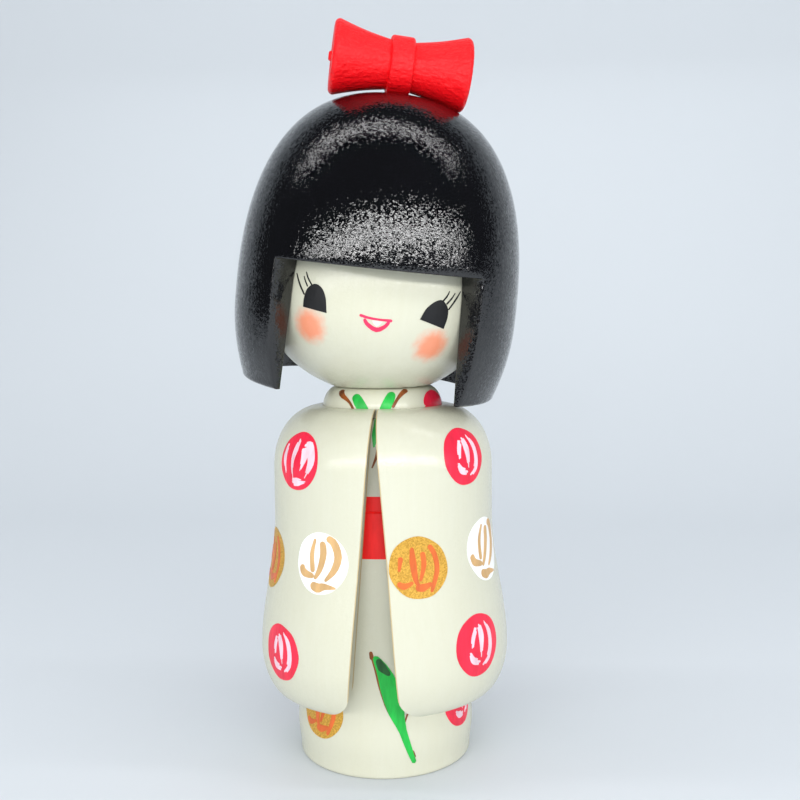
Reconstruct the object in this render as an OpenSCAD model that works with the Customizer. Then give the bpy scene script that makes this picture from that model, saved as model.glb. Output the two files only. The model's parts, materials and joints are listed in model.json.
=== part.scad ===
// Turned wooden kokeshi doll: a body with a thick slit coat slid over it, and a leaning head
// under a hollow hair cap with a turned bow. The head turns on a dowel in the body's neck.
// The front of the doll looks along -Y. The origin is the middle of the foot.

/* [Body] */
// Height from the foot to the flat of the neck
neck_z = 83; // [70:0.5:100]
// Radius of the straight trunk, which the coat slides over
trunk_r = 19.3; // [16:0.1:24]
// How far the foot swells past the trunk
foot_swell = 0.6; // [0:0.1:1]
// Radius of the round edge under the foot
foot_edge = 0.8; // [0.4:0.1:1.5]
// Radius of the collar that stands up out of the coat
collar_r = 13.35; // [11:0.05:16.5]
// Radius of the flat of the neck
neck_r = 9.7; // [8:0.1:11]
// Height of the rounded shoulder between the collar and the neck
collar_round = 4.6; // [3:0.1:6]

/* [Coat] */
// Height of the coat's lower edge
coat_hem_z = 15.3; // [8:0.1:22]
// How far the coat's top edge lies below the neck
coat_top_drop = 4.3; // [3:0.1:6]
// Thickness of the coat at its lower edge
hem_wall = 4.5; // [2.5:0.1:6]
// Thickness of the coat where the long sleeves hang
sleeve_wall = 8.5; // [6.5:0.1:11]
// Height of the largest radius above the lower edge
sleeve_rise = 9.2; // [6:0.1:14]
// Thickness of the straight upper part of the coat
chest_wall = 5.1; // [3:0.1:7]
// Height of the bottom of the straight part
chest_z = 54; // [44:0.5:58]
// Height of the coat's rounded shoulders
shoulder_h = 13.7; // [10:0.1:18]
// Squareness of the coat's rounded shoulders, 2 being an ellipse
shoulder_power = 2.1; // [2:0.05:3]
// Half of the front slit's width at the top
slit_top = 0.25; // [0.1:0.05:2]
// Half of the front slit's width at the lower edge
slit_hem = 5.5; // [2:0.1:9]
// Radius of the corners where the slit meets the lower edge
slit_corner = 6; // [2:0.5:8]
// Depth of the flat step that the coat sits on, below the coat's top
seat_drop = 1.9; // [1.2:0.1:3]
// Width of that flat step
seat_w = 2; // [1.5:0.1:3]
// Glue room around the trunk inside the coat
coat_fit = 0.1; // [0.05:0.05:0.2]

/* [Head] */
// Largest radius of the head
head_r = 25.2; // [21:0.1:31]
// Height of the head's widest ring above the rim of the hair
head_mid = 19; // [16:0.1:22]
// Height of the head below its widest ring
head_down = 20.6; // [18:0.1:23]
// Height of the head above its widest ring
head_up = 32; // [26:0.5:36]
// How far the head's own axis stands aside of the neck
head_aside = 3.2; // [0:0.1:5]
// Lean of the head towards the doll's left
head_lean = 6.3; // [0:0.1:9]
// Nod of the head towards the front
head_nod = 4.5; // [0:0.1:8]
// Turn of the head on the neck as it stands
head_turn = 5.8; // [-20:0.1:20]

/* [Hair] */
// Thickness of the hair at its widest ring
hair_wall = 5.6; // [4:0.1:8]
// Thickness of the hair at its rim
rim_wall = 2.8; // [2:0.1:4]
// Height of the hair's widest ring above the rim
hair_mid = 16.8; // [12:0.1:22]
// Thickness of the hair at the crown
crown_wall = 12; // [9:0.1:16]
// Squareness of the dome, 2 being an ellipse
dome_power = 2.48; // [2:0.01:3]
// How far the rim lies below the flat of the neck, along the head's axis
rim_drop = 0; // [0:0.1:1]
// How far the hollow opens out between the head's widest ring and the rim
rim_flare = 1; // [0:0.1:1.5]
// Radius of the soft outer edge of the rim
rim_edge = 1; // [0.5:0.1:1.2]
// Height of the fringe above the rim
fringe_z = 26.7; // [24:0.1:32]
// Half of the angle that the face shows through
window_half = 42.7; // [35:0.1:50]
// Glue room between the head and the hair
hair_fit = 0.1; // [0.05:0.05:0.2]

/* [Bow] */
// Length of the bow, end to end
bow_l = 29.2; // [22:0.1:34]
// Radius of the bow's ends
bow_end_r = 7.7; // [6.5:0.1:9]
// Radius of the cones beside the knot
bow_waist_r = 5.1; // [4:0.1:6]
// Radius of the knot
knot_r = 6.1; // [5:0.1:7]
// Width of the knot
knot_w = 5; // [4:0.1:7]
// Radius of the soft edges of the ends
bow_edge = 1.1; // [0.5:0.1:1.5]
// Turn of the bow on the crown
bow_turn = 5.5; // [0:0.5:25]
// Tip of the bow down towards the doll's left
bow_tip = 1.2; // [0:0.1:2]
// How far the bow sits in front of the crown's middle
bow_forward = 2.4; // [0:0.1:4]
// Depth of the flat that the bow stands on, cut from the crown and from the knot
bow_seat = 0.2; // [0.1:0.05:0.5]
tip_room = 0.05; // [0.02:0.01:0.2]

/* [Dowels] */
// Radius of the neck dowel
dowel_r = 3; // [2:0.1:4]
// Depth of the neck dowel in the body
dowel_down = 14; // [10:0.5:18]
// Depth of the neck dowel in the head
dowel_up = 13; // [8:0.5:16]
// Running room around the neck dowel in the body
turn_fit = 0.05; // [0.02:0.01:0.08]
// Gap between the head's flat and the body's neck
neck_gap = 0.1; // [0.05:0.05:0.3]
// Radius of the bow's dowel
pin_r = 1.5; // [1:0.1:2]
// Depth of the bow's dowel in the hair
pin_down = 7; // [5:0.5:9]
// Depth of the bow's dowel in the knot, from the knot's underside
pin_up = 7; // [5:0.5:8]
// Glue room around the dowels
glue_fit = 0.03; // [0.02:0.01:0.05]

/* [Hidden] */
$fn = 96;
ivory = [0.93, 0.92, 0.84];
black = [0.03, 0.03, 0.035];
red = [0.85, 0.05, 0.08];
wood = [0.80, 0.66, 0.45];
steps = 14;                           // points along each rounded stretch
past = 1;                             // how far a cut runs past the surface it opens
coat_top_z = neck_z - coat_top_drop;
seat_z = coat_top_z - seat_drop;
shoulder_z = coat_top_z - shoulder_h; // where the coat's rounded shoulders start
sleeve_z = coat_hem_z + sleeve_rise;
step_r = collar_r + seat_w;
trunk_top_z = seat_z - (trunk_r - step_r) * 1.8;
hole_end = 0.5;                       // air under the neck dowel
dowel_top_z = neck_z + dowel_up;
bore_r = trunk_r + coat_fit;          // inside the coat
coat_hem_r = bore_r + hem_wall;
sleeve_r = bore_r + sleeve_wall;
chest_r = bore_r + chest_wall;
inside_r = head_r + hair_fit;         // inside the hair
hair_r = inside_r + hair_wall;
hair_rim_r = inside_r + rim_wall;
hair_top_in = head_mid + head_up + hair_fit;
crown_z = hair_top_in + crown_wall;   // the hair's top, above its rim
dome_h = crown_z - hair_mid;
seat_top_z = crown_z - bow_seat;      // the flat that the bow stands on
bow_z = seat_top_z + knot_r - bow_seat;
foot_mid_z = coat_hem_z / 2;

// A quarter ellipse or squarer curve from angle a0 to a1, around (cr, cz)
function curve(cr, cz, wr, hz, a0, a1, power = 2, n = steps) = [
    for (i = [0:n])
        let (a = a0 + (a1 - a0) * i / n, c = cos(a), s = sin(a))
            [cr + wr * sign(c) * pow(abs(c), 2 / power), cz + hz * sign(s) * pow(abs(s), 2 / power)]
];

// A soft S from radius r0 at z0 to radius r1 at z1
function swell(r0, z0, r1, z1, n = steps) = [
    for (i = [1:n]) [r1 + (r0 - r1) * (1 + cos(180 * i / n)) / 2, z0 + (z1 - z0) * i / n]
];

// The trunk's shoulder under the coat, grown by the glue room
function trunk_shoulder(room) =
    curve(step_r + room, trunk_top_z, trunk_r - step_r, seat_z - trunk_top_z, 0, 90);

// The crown as a form to trim the bow's tips by, up to just under the bow's seat
module crown_trim() {
    line = [
        for (p = curve(0, hair_mid, hair_r + tip_room, dome_h + tip_room, 0, 90, dome_power, 6 * steps))
            if (p[1] < seat_top_z) p
    ];
    rotate_extrude()
        polygon(concat([[0, hair_mid]], line, [[0, line[len(line) - 1][1]]]));
}

// Places things on the head's own axis, with the rim of the hair at z = 0
module on_head() {
    rotate([0, 0, head_turn])
        translate([-head_aside, 0, neck_z])
            rotate([head_nod, head_lean, 0])
                translate([0, 0, -rim_drop])
                    children();
}

// Places things at the middle of the bow, with the bow's length along z
module on_bow() {
    translate([0, -bow_forward, bow_z])
        rotate([0, 0, bow_turn])
            rotate([0, 90 + bow_tip, 0])
                children();
}

module dowel_hole(r, z0, z1) {
    translate([0, 0, z0])
        cylinder(r = r, h = z1 - z0);
}

module body() {
    color(ivory)
        difference() {
            rotate_extrude()
                polygon(concat(
                    [[0, 0]],
                    curve(trunk_r - foot_edge, foot_edge, foot_edge, foot_edge, -90, 0, n = 6),
                    swell(trunk_r, foot_edge, trunk_r + foot_swell, foot_mid_z, 6),
                    swell(trunk_r + foot_swell, foot_mid_z, trunk_r, coat_hem_z, 6),
                    trunk_shoulder(0),
                    [[collar_r, seat_z]],
                    curve(neck_r, neck_z - collar_round, collar_r - neck_r, collar_round, 0, 90),
                    [[0, neck_z]]
                ));
            dowel_hole(dowel_r + turn_fit, neck_z - dowel_down - hole_end, neck_z + past);
        }
}

module slit() {
    half_at_corner = slit_hem - (slit_hem - slit_top) * slit_corner / (coat_top_z - coat_hem_z);
    side = concat(
        [[slit_hem + slit_corner, coat_hem_z - past]],
        [for (p = curve(half_at_corner + slit_corner, coat_hem_z + slit_corner,
            slit_corner, slit_corner, -90, -180, n = 8)) p],
        [[slit_top, coat_top_z + past]]
    );
    rotate([90, 0, 0])
        linear_extrude(sleeve_r + past)
            polygon(concat(side, [for (i = [len(side) - 1:-1:0]) [-side[i][0], side[i][1]]]));
}

module coat() {
    color(ivory)
        difference() {
            rotate_extrude()
                polygon(concat(
                    [[bore_r, coat_hem_z]],
                    curve(coat_hem_r, coat_hem_z + sleeve_rise, sleeve_r - coat_hem_r, sleeve_rise,
                        -90, 0, 1.72),
                    swell(sleeve_r, sleeve_z, chest_r, chest_z),
                    curve(collar_r + coat_fit, shoulder_z, chest_r - collar_r - coat_fit, shoulder_h,
                        0, 90, shoulder_power),
                    [[collar_r + coat_fit, seat_z], [step_r, seat_z]],
                    [for (i = [steps:-1:0]) trunk_shoulder(coat_fit)[i]]
                ));
            slit();
        }
}

module neck_dowel() {
    color(wood)
        dowel_hole(dowel_r, neck_z - dowel_down, dowel_top_z);
}

module head() {
    color(ivory)
        difference() {
            on_head()
                rotate_extrude()
                    polygon(concat(
                        curve(0, head_mid, head_r, head_down, -90, 0),
                        [for (p = curve(0, head_mid, head_r, head_up, 0, 90)) if (p[1] > head_mid) p]
                    ));
            translate([0, 0, neck_z + neck_gap - head_r])
                cylinder(r = 2 * head_r, h = head_r);
            dowel_hole(dowel_r + glue_fit, neck_z, dowel_top_z);
        }
}

module face_window() {
    far = 2 * hair_r;
    translate([0, 0, -past])
        linear_extrude(fringe_z + past)
            polygon([
                [0, 0],
                [-far * sin(window_half), -far * cos(window_half)],
                [0, -2 * far],
                [far * sin(window_half), -far * cos(window_half)]
            ]);
}

module hair() {
    color(black)
        on_head()
            difference() {
                rotate_extrude()
                    polygon(concat(
                        [[inside_r + rim_flare, 0]],
                        curve(hair_rim_r - rim_edge, rim_edge, rim_edge, rim_edge, -90, 0, n = 5),
                        [for (i = [1:steps])
                            let (z = rim_edge + (hair_mid - rim_edge) * i / steps,
                                drop = (hair_mid - z) / (hair_mid - rim_edge))
                                [hair_r - (hair_r - hair_rim_r) * drop * drop, z]],
                        [for (p = curve(0, hair_mid, hair_r, dome_h, 0, 90, dome_power, 2 * steps))
                            if (p[1] > hair_mid) p],
                        [[0, hair_top_in]],
                        [for (i = [steps - 1:-1:0])
                            curve(0, head_mid, inside_r, head_up + hair_fit, 0, 90)[i]]
                    ));
                face_window();
                translate([0, -bow_forward, seat_top_z])
                    cylinder(r = hair_r / 2, h = past);
                translate([0, -bow_forward, 0])
                    dowel_hole(pin_r + glue_fit, crown_z - pin_down, crown_z + past);
            }
}

module bow() {
    half = [
        [0, bow_l / 2],
        each curve(bow_end_r - bow_edge, bow_l / 2 - bow_edge, bow_edge, bow_edge, 90, 0, n = 6),
        [bow_waist_r, knot_w / 2],
        each curve(knot_r - 0.6, knot_w / 2 - 0.6, 0.6, 0.6, 90, 0, n = 4)
    ];
    color(red)
        on_head()
            difference() {
                on_bow()
                    rotate_extrude()
                        polygon(concat(half, [for (i = [len(half) - 1:-1:0]) [half[i][0], -half[i][1]]]));
                translate([0, -bow_forward, seat_top_z - past])
                    cylinder(r = knot_w, h = past);
                crown_trim();
                translate([0, -bow_forward, 0])
                    dowel_hole(pin_r + glue_fit, crown_z - 2 * past, crown_z + pin_up);
            }
}

module bow_dowel() {
    color(wood)
        on_head()
            translate([0, -bow_forward, 0])
                dowel_hole(pin_r, crown_z - pin_down, crown_z + pin_up);
}

body();
coat();
neck_dowel();
head();
hair();
bow();
bow_dowel();
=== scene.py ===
import json
import math

import bmesh
import bpy
from mathutils import Euler, Matrix, Vector


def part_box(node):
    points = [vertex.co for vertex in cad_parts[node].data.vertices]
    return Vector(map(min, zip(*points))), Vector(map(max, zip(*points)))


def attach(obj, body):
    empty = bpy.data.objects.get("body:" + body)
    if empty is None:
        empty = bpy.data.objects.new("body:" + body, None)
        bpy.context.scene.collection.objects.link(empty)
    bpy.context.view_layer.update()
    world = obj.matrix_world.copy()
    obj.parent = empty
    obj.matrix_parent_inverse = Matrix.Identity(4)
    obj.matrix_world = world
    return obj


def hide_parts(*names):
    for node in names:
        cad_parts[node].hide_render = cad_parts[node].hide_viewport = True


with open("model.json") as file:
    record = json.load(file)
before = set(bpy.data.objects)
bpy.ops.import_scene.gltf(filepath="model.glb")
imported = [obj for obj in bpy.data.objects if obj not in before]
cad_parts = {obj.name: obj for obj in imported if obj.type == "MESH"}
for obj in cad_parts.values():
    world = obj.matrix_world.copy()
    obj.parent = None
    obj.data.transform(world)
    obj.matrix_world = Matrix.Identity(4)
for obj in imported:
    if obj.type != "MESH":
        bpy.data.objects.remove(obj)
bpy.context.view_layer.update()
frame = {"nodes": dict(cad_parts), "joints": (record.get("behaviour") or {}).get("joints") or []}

bl_info = {
    "name": "Turned Kokeshi Doll",
    "version": (1, 0, 0),
    "blender": (4, 5, 0),
    "location": "3D View > Sidebar > Kokeshi",
    "description": "Builds a lathe-turned wooden doll with a slit coat, a bob of hair and a bow",
    "category": "Object",
}

MM = 0.001
NECK = frame["joints"][0]["pos_m"][2]
COAT_LOW, COAT_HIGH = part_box("coat")
SASH_GROOVE = 57.6 * MM
AIR_SEEN = 0.85      # how bright the studio's air looks,
AIR_FELT = 0.3       # how much it lights,
AIR_MIRRORED = 0.05  # and how much of it shows in gloss


def length(name, description, default):
    return bpy.props.FloatProperty(
        name=name, description=description, default=default, min=0.0, subtype="DISTANCE", unit="LENGTH"
    )


def angle(name, description, degrees):
    return bpy.props.FloatProperty(
        name=name, description=description, default=math.radians(degrees), subtype="ANGLE", unit="ROTATION"
    )


def colour(name, description, default):
    return bpy.props.FloatVectorProperty(
        name=name, description=description, default=default, min=0.0, max=1.0, size=3, subtype="COLOR"
    )


class DollSizes(bpy.types.PropertyGroup):
    """Sizes of the turned pieces."""

    trunk_radius: length("Trunk radius", "Radius of the straight trunk under the coat", 0.0193)
    foot_swell: length("Foot swell", "How far the foot swells past the trunk", 0.0006)
    collar_radius: length("Collar radius", "Radius of the collar above the coat", 0.01335)
    neck_radius: length("Neck radius", "Radius of the flat that the head stands on", 0.0097)
    collar_round: length("Collar rounding", "Height of the rounding under the neck", 0.0046)
    coat_gap: length("Coat gap", "Glue room between the trunk and the coat", 0.0001)
    hem_wall: length("Hem wall", "Thickness of the coat at its lower edge", 0.0045)
    sleeve_wall: length("Sleeve wall", "Thickness of the coat where the sleeves hang", 0.0085)
    chest_wall: length("Chest wall", "Thickness of the straight part of the coat", 0.0051)
    sleeve_rise: length("Sleeve rise", "Height of the widest ring above the hem", 0.0092)
    chest_height: length("Chest height", "Height where the coat becomes straight", 0.054)
    shoulder_height: length("Shoulder height", "Height of the coat's rounded shoulders", 0.0137)
    slit_top: length("Slit at the top", "Half the slit's width at the collar", 0.00025)
    slit_hem: length("Slit at the hem", "Half the slit's width at the lower edge", 0.0055)
    slit_corner: length("Slit corner", "Radius of the corners where the slit meets the hem", 0.006)
    seat_depth: length("Seat depth", "Depth of the step that the coat sits on", 0.0019)
    seat_width: length("Seat width", "Width of that step", 0.002)
    head_radius: length("Head radius", "Largest radius of the head", 0.0252)
    head_middle: length("Head middle", "Widest ring of the head above the rim of the hair", 0.019)
    head_below: length("Head below", "Height of the head below its widest ring", 0.0206)
    head_above: length("Head above", "Height of the head above its widest ring", 0.032)
    hair_gap: length("Hair gap", "Glue room between the head and the hair", 0.0001)
    hair_wall: length("Hair wall", "Thickness of the hair at its widest ring", 0.0056)
    rim_wall: length("Rim wall", "Thickness of the hair at its rim", 0.0028)
    rim_flare: length("Rim flare", "How far the hollow opens out towards the rim", 0.001)
    rim_edge: length("Rim edge", "Radius of the soft outer edge of the rim", 0.001)
    hair_middle: length("Hair middle", "Widest ring of the hair above its rim", 0.0168)
    crown_wall: length("Crown wall", "Thickness of the hair at the crown", 0.012)
    fringe: length("Fringe", "Height of the fringe above the rim", 0.0267)
    bow_length: length("Bow length", "Length of the bow from end to end", 0.0292)
    bow_end: length("Bow ends", "Radius of the bow's ends", 0.0077)
    bow_waist: length("Bow waist", "Radius of the cones beside the knot", 0.0051)
    knot_radius: length("Knot radius", "Radius of the knot", 0.0061)
    knot_width: length("Knot width", "Width of the knot", 0.005)
    bow_forward: length("Bow forward", "How far the bow stands in front of the crown", 0.0024)
    head_aside: length("Head aside", "How far the head's axis stands aside of the neck", 0.0032)
    ball_radius: length("Ball radius", "Radius of the thread balls painted on the coat", 0.0062)
    paint_thickness: length("Paint thickness", "Thickness of one coat of paint", 0.00006)
    window_half: angle("Face window", "Half of the angle that the face shows through", 42.7)
    head_lean: angle("Head lean", "Lean of the head to the doll's left", 6.3)
    head_nod: angle("Head nod", "Nod of the head to the front", 4.5)
    head_turn: angle("Head turn", "Turn of the head on the neck", 5.8)
    bow_turn: angle("Bow turn", "Turn of the bow on the crown", 5.5)
    bow_tip: angle("Bow tip", "Tip of the bow down to the doll's left", 1.2)


class DollColours(bpy.types.PropertyGroup):
    """Colours of the lacquers and paints."""

    ivory: colour("Ivory lacquer", "Lacquer of the body, coat and head", (0.62, 0.615, 0.495))
    black: colour("Black lacquer", "Lacquer of the hair", (0.0022, 0.0022, 0.0028))
    red: colour("Red lacquer", "Lacquer of the bow", (0.86, 0.003, 0.007))
    wood: colour("Bare wood", "Wood of the dowels and of sawn faces", (0.62, 0.43, 0.24))
    paint_red: colour("Red paint", "Ground of the red balls", (0.80, 0.018, 0.055))
    paint_sash: colour("Sash red", "Sash round the trunk", (0.90, 0.012, 0.010))
    paint_white: colour("White paint", "White balls and strokes", (0.90, 0.90, 0.89))
    paint_gold: colour("Gold paint", "Ground of the gold balls", (0.68, 0.385, 0.05))
    paint_tan: colour("Tan paint", "Thin strokes on the white balls", (0.60, 0.37, 0.16))
    paint_rose: colour("Rose white paint", "Dry white strokes on the red balls", (0.82, 0.57, 0.64))
    # Painted shade: a dark green that stands in for shade on the top of the ribbon.
    ribbon_painted_shade: colour("Green painted shade", "Painted shade where the ribbon starts", (0.014, 0.10, 0.022))
    sawn: colour("Sawn faces", "Thinly painted faces of the slit", (0.50, 0.38, 0.20))
    paint_orange: colour("Orange paint", "Strokes on the gold balls", (0.66, 0.13, 0.025))
    paint_green: colour("Green paint", "Leaves and ribbon", (0.015, 0.46, 0.06))
    paint_brown: colour("Brown paint", "Stems and edges of the ribbon", (0.20, 0.055, 0.012))
    paint_black: colour("Black paint", "Eyes and lashes", (0.005, 0.005, 0.006))
    paint_lips: colour("Lip paint", "Mouth", (0.72, 0.03, 0.10))
    cheek: colour("Cheek", "Soft blush on the cheeks", (0.86, 0.215, 0.085))
    backdrop: colour("Backdrop", "Paper behind and under the doll", (0.665, 0.695, 0.725))


# ---------------------------------------------------------------- outlines


def arc(cr, cz, wr, hz, first, last, power=2.0, steps=16):
    """A quarter ellipse or squarer curve round (cr, cz), as (radius, height) points."""
    points = []
    for i in range(steps + 1):
        a = math.radians(first + (last - first) * i / steps)
        c = math.cos(a)
        s = math.sin(a)
        r = cr + wr * math.copysign(abs(c) ** (2 / power), c)
        z = cz + hz * math.copysign(abs(s) ** (2 / power), s)
        points.append((max(r, 0.0), z))
    return points


def swell(r0, z0, r1, z1, steps=12):
    """A soft S from one radius to the next."""
    points = []
    for i in range(1, steps + 1):
        blend = (1 + math.cos(math.pi * i / steps)) / 2
        points.append((r1 + (r0 - r1) * blend, z0 + (z1 - z0) * i / steps))
    return points


def body_outline(s):
    trunk = s.trunk_radius
    edge = 0.8 * MM
    seat_z = COAT_HIGH.z - s.seat_depth
    step_r = s.collar_radius + s.seat_width
    trunk_top = seat_z - (trunk - step_r) * 1.8
    hole_r = 3.05 * MM
    hole_z = NECK - 14.5 * MM
    middle = COAT_LOW.z / 2
    groove = SASH_GROOVE
    points = [(0.0, 0.0)]
    points += arc(trunk - edge, edge, edge, edge, -90, 0, steps=6)
    points += swell(trunk, edge, trunk + s.foot_swell, middle, 8)
    points += swell(trunk + s.foot_swell, middle, trunk, COAT_LOW.z, 8)
    points += [(trunk, 30 * MM), (trunk, groove - 0.25 * MM), (trunk - 0.22 * MM, groove),
               (trunk, groove + 0.25 * MM), (trunk, trunk_top - 2 * MM)]
    points += arc(step_r, trunk_top, trunk - step_r, seat_z - trunk_top, 0, 90, steps=10)
    points += [(s.collar_radius, seat_z)]
    points += arc(s.neck_radius, NECK - s.collar_round, s.collar_radius - s.neck_radius,
                  s.collar_round, 0, 90, steps=18)
    points += [(hole_r, NECK), (hole_r, hole_z), (0.0, hole_z)]
    return points


def coat_chains(s):
    """The coat's outside and inside, point for point, from the hem up to the collar's edge."""
    hem_z = COAT_LOW.z
    top_z = COAT_HIGH.z
    bore = s.trunk_radius + s.coat_gap
    hem_r = bore + s.hem_wall
    sleeve_r = bore + s.sleeve_wall
    chest_r = bore + s.chest_wall
    collar = s.collar_radius + s.coat_gap
    sleeve_z = hem_z + s.sleeve_rise
    shoulder_z = top_z - s.shoulder_height
    seat_z = top_z - s.seat_depth
    step_r = s.collar_radius + s.seat_width
    trunk_top = seat_z - (s.trunk_radius - step_r) * 1.8
    outside = arc(hem_r, sleeve_z, sleeve_r - hem_r, s.sleeve_rise, -90, 0, 1.72, 14)
    outside += swell(sleeve_r, sleeve_z, chest_r, s.chest_height, 22)
    outside += [(chest_r, s.chest_height + (shoulder_z - s.chest_height) * i / 5) for i in range(1, 5)]
    outside += arc(collar, shoulder_z, chest_r - collar, s.shoulder_height, 0, 90, 2.1, 26)
    inside = [(bore, z) for r, z in outside if z < trunk_top]
    left = len(outside) - len(inside)
    inside += arc(step_r + s.coat_gap, trunk_top, s.trunk_radius - step_r, seat_z - trunk_top,
                  0, 90, steps=left - 3)
    inside += [(collar, seat_z)]
    inside += [outside[-1]]
    return outside, inside


def slit_half(s, z):
    """Half of the slit's width at a height."""
    hem_z = COAT_LOW.z
    slope = (s.slit_hem - s.slit_top) / (COAT_HIGH.z - hem_z)
    corner_z = hem_z + s.slit_corner
    if z >= corner_z:
        return s.slit_top + slope * (COAT_HIGH.z - z)
    depth = min(corner_z - z, s.slit_corner)
    rounding = s.slit_corner - math.sqrt(s.slit_corner ** 2 - depth ** 2)
    return s.slit_top + slope * (COAT_HIGH.z - corner_z) + rounding


def head_radius_at(s, z):
    reach = s.head_above if z > s.head_middle else s.head_below
    return s.head_radius * math.sqrt(max(0.0, 1 - ((z - s.head_middle) / reach) ** 2))


def hair_inside_at(s, z):
    radius = s.head_radius + s.hair_gap
    if z < s.head_middle:
        return radius + s.rim_flare * (s.head_middle - z) / s.head_middle
    reach = s.head_above + s.hair_gap
    return radius * math.sqrt(max(0.0, 1 - ((z - s.head_middle) / reach) ** 2))


def crown_height(s):
    return s.head_middle + s.head_above + s.hair_gap + s.crown_wall


def hair_outside_at(s, z):
    wide = s.head_radius + s.hair_gap + s.hair_wall
    rim = s.head_radius + s.hair_gap + s.rim_wall
    if z < s.hair_middle:
        drop = (s.hair_middle - z) / (s.hair_middle - s.rim_edge)
        return wide - (wide - rim) * drop * drop
    t = (z - s.hair_middle) / (crown_height(s) - s.hair_middle)
    return wide * max(0.0, 1 - t ** 2.48) ** (1 / 2.48)


def hair_outline(s):
    """From the crown down the outside, round the rim and up the inside of the hollow."""
    rim = s.head_radius + s.hair_gap + s.rim_wall
    low = arc(rim - s.rim_edge, s.rim_edge, s.rim_edge, s.rim_edge, -90, 0, steps=4)
    heights = [s.rim_edge + (s.fringe - s.rim_edge) * i / 18 for i in range(1, 19)]
    low += [(hair_outside_at(s, z), z) for z in heights]
    crown = crown_height(s)
    wide = s.head_radius + s.hair_gap + s.hair_wall
    high = [p for p in arc(0.0, s.hair_middle, wide, crown - s.hair_middle, 0, 90, 2.48, 44)
            if p[1] > s.fringe + 0.4 * MM]
    inside_low = [(hair_inside_at(s, z), z) for r, z in low]
    top = s.head_middle + s.head_above + s.hair_gap
    inside_high = [p for p in arc(0.0, s.head_middle, s.head_radius + s.hair_gap, s.head_above + s.hair_gap,
                                  0, 90, steps=24) if p[1] > s.fringe + 0.4 * MM]
    high[-1] = (0.0, crown)
    inside_high[-1] = (0.0, top)
    return list(reversed(high)) + list(reversed(low)) + inside_low + inside_high


def bow_outline(s):
    half = s.bow_length / 2
    edge = 1.1 * MM
    soft = 0.6 * MM
    side = arc(s.bow_end - edge, half - edge, edge, edge, 90, 0, steps=6)
    for i in range(1, 10):
        t = i / 10
        r = s.bow_end + (s.bow_waist - s.bow_end) * t
        hollow = 0.25 * MM * math.sin(math.pi * t)
        side.append((r - hollow, half - edge + (s.knot_width / 2 - half + edge) * t))
    side.append((s.bow_waist, s.knot_width / 2 + 0.05 * MM))
    side += arc(s.knot_radius - soft, s.knot_width / 2 - soft, soft, soft, 90, 0, steps=5)
    far = [(r, -z) for r, z in reversed(side)]
    nub = [(3.2 * MM, -half), (2.8 * MM, -half + 0.18 * MM), (1.2 * MM, -half + 0.12 * MM),
           (0.95 * MM, -half - 0.45 * MM), (0.75 * MM, -half - 0.6 * MM), (0.0, -half - 0.62 * MM)]
    return [(0.0, half), (3.0 * MM, half)] + side + far + nub


# ---------------------------------------------------------------- modelling helpers


def nothing_selected():
    active = bpy.context.view_layer.objects.active
    if active is not None and active.mode != "OBJECT":
        bpy.ops.object.mode_set(mode="OBJECT")
    bpy.ops.object.select_all(action="DESELECT")


def only(piece):
    nothing_selected()
    piece.select_set(True)
    bpy.context.view_layer.objects.active = piece


def pick(piece, kind, wanted):
    """Selects in edit mode the verts, edges or faces that pass a test."""
    bpy.ops.mesh.select_mode(type=kind)
    bpy.ops.mesh.select_all(action="DESELECT")
    mesh = bmesh.from_edit_mesh(piece.data)
    parts = {"VERT": mesh.verts, "EDGE": mesh.edges, "FACE": mesh.faces}[kind]
    for part in parts:
        if wanted(part):
            part.select_set(True)
    mesh.select_flush_mode()
    bmesh.update_edit_mesh(piece.data)


def bearing(point):
    """Angle round the upright axis, from the front to the doll's left, -180 to 180 degrees."""
    return math.degrees(math.atan2(point.x, -point.y))


def turned(name, outline, steps, start=0.0, sweep=360.0):
    """Draws an outline point by point and spins it, as wood on a lathe."""
    nothing_selected()
    bpy.ops.mesh.primitive_plane_add(size=1 * MM)
    piece = bpy.context.object
    piece.name = name
    piece.data.name = name
    bpy.ops.object.mode_set(mode="EDIT")
    bpy.ops.mesh.select_mode(type="VERT")
    bpy.ops.mesh.select_all(action="SELECT")
    bpy.ops.mesh.merge(type="CENTER")
    way = Vector((math.sin(math.radians(start)), -math.cos(math.radians(start)), 0.0))
    stations = [way * r + Vector((0.0, 0.0, z)) for r, z in outline]
    bpy.ops.transform.translate(value=stations[0])
    for last, this in zip(stations, stations[1:]):
        bpy.ops.mesh.extrude_region_move(TRANSFORM_OT_translate={"value": this - last})
    bpy.ops.mesh.select_all(action="SELECT")
    bpy.ops.mesh.spin(steps=steps, angle=math.radians(sweep), center=(0, 0, 0), axis=(0, 0, -1))
    bpy.ops.mesh.select_all(action="SELECT")
    bpy.ops.mesh.remove_doubles(threshold=0.001 * MM)
    bpy.ops.mesh.normals_make_consistent(inside=False)
    bpy.ops.object.mode_set(mode="OBJECT")
    return piece


def soften(piece, width, segments=3, limit=50):
    """Rounds the sharp edges a little, as after sanding."""
    only(piece)
    edge = piece.modifiers.new("sanded_edges", "BEVEL")
    edge.limit_method = "ANGLE"
    edge.angle_limit = math.radians(limit)
    edge.width = width
    edge.segments = segments
    edge.use_clamp_overlap = False
    bpy.ops.object.modifier_apply(modifier=edge.name)


def smooth(piece, limit=35):
    only(piece)
    bpy.ops.object.shade_smooth_by_angle(angle=math.radians(limit))


def put(piece, place):
    """Moves a finished shape to its place and leaves its object at the origin."""
    only(piece)
    piece.matrix_world = place @ piece.matrix_world
    bpy.ops.object.transform_apply(location=True, rotation=True, scale=True)


def paint_with(piece, material):
    piece.data.materials.clear()
    piece.data.materials.append(material)


def hand_over(piece, body, slot_name, *nodes):
    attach(piece, body)
    if nodes:
        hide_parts(*nodes)


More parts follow.
